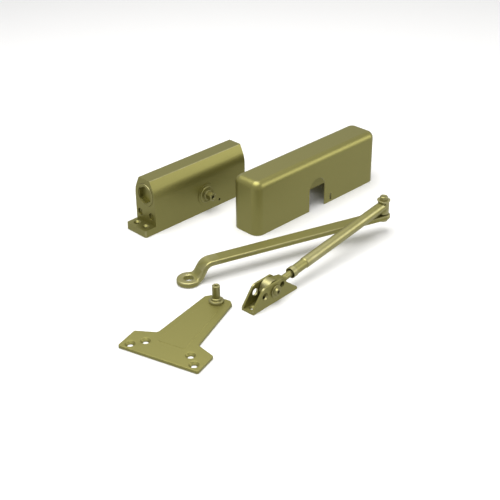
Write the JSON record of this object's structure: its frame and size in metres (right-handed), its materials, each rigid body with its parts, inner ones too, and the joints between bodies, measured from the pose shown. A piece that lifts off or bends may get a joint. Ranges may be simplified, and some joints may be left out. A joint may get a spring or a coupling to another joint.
{
  "type": "door closer",
  "caption": "Surface door closer laid out as a kit: rack-and-pinion body, box cover, main arm, adjustable forearm with shoe, and a soffit bracket.",
  "frame": {"origin": "centre of the closer body's four mounting holes, on its mounting face", "axes": "+Z away from the mounting face (up as laid out), X along the closer body towards the spring-power end, Y along the pinion, -Y is the front of the layout"},
  "size_m": [0.5781, 0.3531, 0.0845],
  "materials": {
    "body_paint": "satin metallic gold paint",
    "cover_paint": "satin metallic gold paint",
    "arm_paint": "satin metallic gold paint",
    "plate_paint": "satin metallic gold paint",
    "plug_paint": "satin metallic gold paint",
    "plated_steel": "brass-coloured plating",
    "bare_steel": "machined",
    "spring_steel": "oiled spring wire",
    "bearing_steel": "machined",
    "valve_brass": "machined",
    "bush_brass": "sintered bronze",
    "seal_rubber": "matt"
  },
  "bodies": {
    "closer_body": {"housing": "body_paint", "left_end_plug": "plug_paint", "right_end_plug": "plug_paint", "end_plug_seals": "seal_rubber", "front_bearing_nut": "plug_paint", "back_bearing_nut": "plug_paint", "pinion_bearings": "bearing_steel", "pinion_seals": "seal_rubber", "closing_spring": "spring_steel", "adjuster_circlip": "spring_steel"},
    "pinion": {"pinion_shaft": "plated_steel"},
    "piston": {"piston": "bare_steel", "piston_check_ball": "bearing_steel", "piston_check_plug": "valve_brass"},
    "spring_seat": {"spring_seat": "bare_steel"},
    "power_adjuster": {"power_adjuster": "bare_steel"},
    "sweep_valve": {"sweep_valve": "valve_brass", "sweep_valve_seal": "seal_rubber"},
    "latch_valve": {"latch_valve": "valve_brass", "latch_valve_seal": "seal_rubber"},
    "cover": {"cover": "cover_paint"},
    "main_arm": {"main_arm": "arm_paint", "elbow_stud": "plated_steel", "elbow_washer": "arm_paint"},
    "forearm": {"forearm_tube": "arm_paint", "elbow_bush": "bush_brass", "rod_clamp_screw": "plated_steel", "barrel_grub_screw": "plated_steel"},
    "rod_guide": {"rod_guide": "bare_steel"},
    "forearm_rod": {"forearm_rod": "arm_paint"},
    "shoe": {"shoe_bracket": "arm_paint", "shoe_pivot_screw": "plated_steel", "shoe_pivot_nut": "plated_steel", "shoe_spacers": "plated_steel"},
    "bracket": {"bracket_plate": "plate_paint", "bracket_stud": "plate_paint"}
  },
  "joints": [
    {"name": "pinion_spin", "type": "hinge", "parent": "closer_body", "child": "pinion", "pos_m": [0.01, 0, 0.0275], "axis": [0, 1, 0], "range_deg": [0, 180]},
    {"name": "piston_slide", "type": "slide", "parent": "closer_body", "child": "piston", "axis": [1, 0, 0], "range_m": [0, 0.0314], "stiffness_N_per_m": 4000, "springref_m": -0.01, "deforming": ["closing_spring"]},
    {"name": "power_adjust", "type": "hinge", "parent": "closer_body", "child": "power_adjuster", "pos_m": [0.091, 0, 0.0555], "axis": [1, 0, 0], "range_deg": [0, 1625]},
    {"name": "seat_slide", "type": "slide", "parent": "closer_body", "child": "spring_seat", "axis": [-1, 0, 0], "range_m": [0, 0.00675]},
    {"name": "sweep_adjust", "type": "hinge", "parent": "closer_body", "child": "sweep_valve", "pos_m": [-0.091, -0.0125, 0.024], "axis": [1, 0, 0], "range_deg": [-360, 360]},
    {"name": "latch_adjust", "type": "hinge", "parent": "closer_body", "child": "latch_valve", "pos_m": [-0.091, 0.0125, 0.024], "axis": [1, 0, 0], "range_deg": [-360, 360]},
    {"name": "cover_lift", "type": "slide", "parent": "closer_body", "child": "cover", "axis": [0, 0, 1], "range_m": [0, 0.12]},
    {"name": "arm_lift", "type": "slide", "parent": "closer_body", "child": "main_arm", "axis": [0, 0, 1], "range_m": [0, 0.1]},
    {"name": "elbow_swing", "type": "hinge", "parent": "main_arm", "child": "forearm", "pos_m": [0.14468, -0.252, 0.04], "axis": [0, 0, 1], "range_deg": [0, 165]},
    {"name": "rod_extend", "type": "slide", "parent": "forearm", "child": "rod_guide", "axis": [-0.994, -0.0451, -0.0999], "range_m": [-0.005, 0.03]},
    {"name": "rod_twist", "type": "hinge", "parent": "rod_guide", "child": "forearm_rod", "pos_m": [-0.10206, -0.2632, 0.017], "axis": [0.994, 0.0451, 0.0999], "range_deg": [-90, 90]},
    {"name": "shoe_tilt", "type": "hinge", "parent": "forearm_rod", "child": "shoe", "pos_m": [-0.10206, -0.2632, 0.017], "axis": [-0.0454, 0.999, 0], "range_deg": [-8, 130]},
    {"name": "bracket_lift", "type": "slide", "parent": "closer_body", "child": "bracket", "axis": [0, 0, 1], "range_m": [0, 0.08]}
  ],
  "couplings": [
    {"joint": "pinion_spin", "follows": "piston_slide", "rad_per_m": 100},
    {"joint": "power_adjust", "follows": "seat_slide", "rad_per_m": 4188.8}
  ]
}
